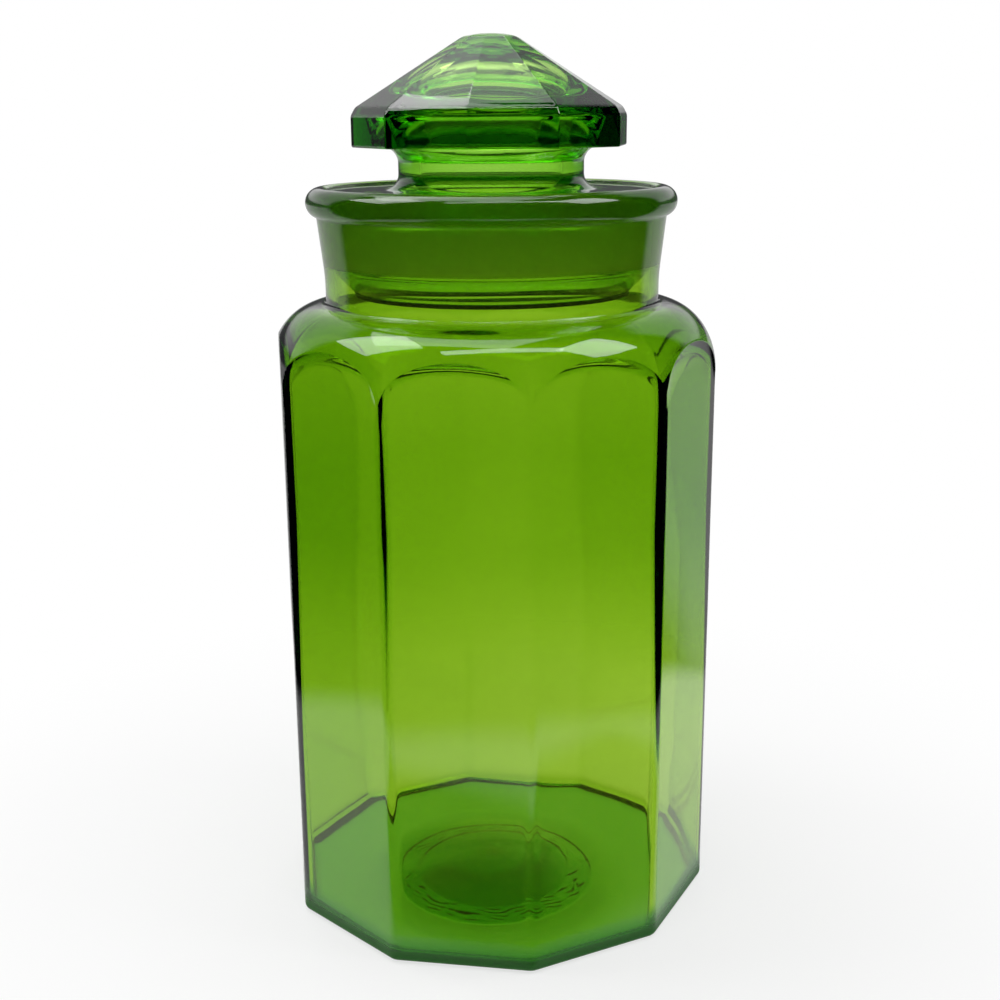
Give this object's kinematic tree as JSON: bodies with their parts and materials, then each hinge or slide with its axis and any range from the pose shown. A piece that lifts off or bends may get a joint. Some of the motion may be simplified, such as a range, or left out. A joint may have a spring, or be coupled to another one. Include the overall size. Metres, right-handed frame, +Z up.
{
  "type": "glass storage jar",
  "caption": "Tall panelled glass storage jar with a round shoulder, rolled rim and a hollow ground-glass stopper with a faceted conical knob.",
  "frame": {"origin": "middle of the base, on the surface that the jar stands on", "axes": "+Z up along the jar's axis; -Y points through one upright corner of the jar"},
  "size_m": [0.142, 0.1488, 0.2918],
  "materials": {
    "green_glass": "clear bottle-green soda-lime glass, fire-polished, with a ground band on the stopper's plug"
  },
  "bodies": {
    "jar": {"jar": "green_glass"},
    "stopper": {"stopper": "green_glass"}
  },
  "joints": [
    {"name": "stopper_lift", "type": "slide", "parent": "jar", "child": "stopper", "axis": [0, 0, 1], "range_m": [0, 0.06]}
  ]
}
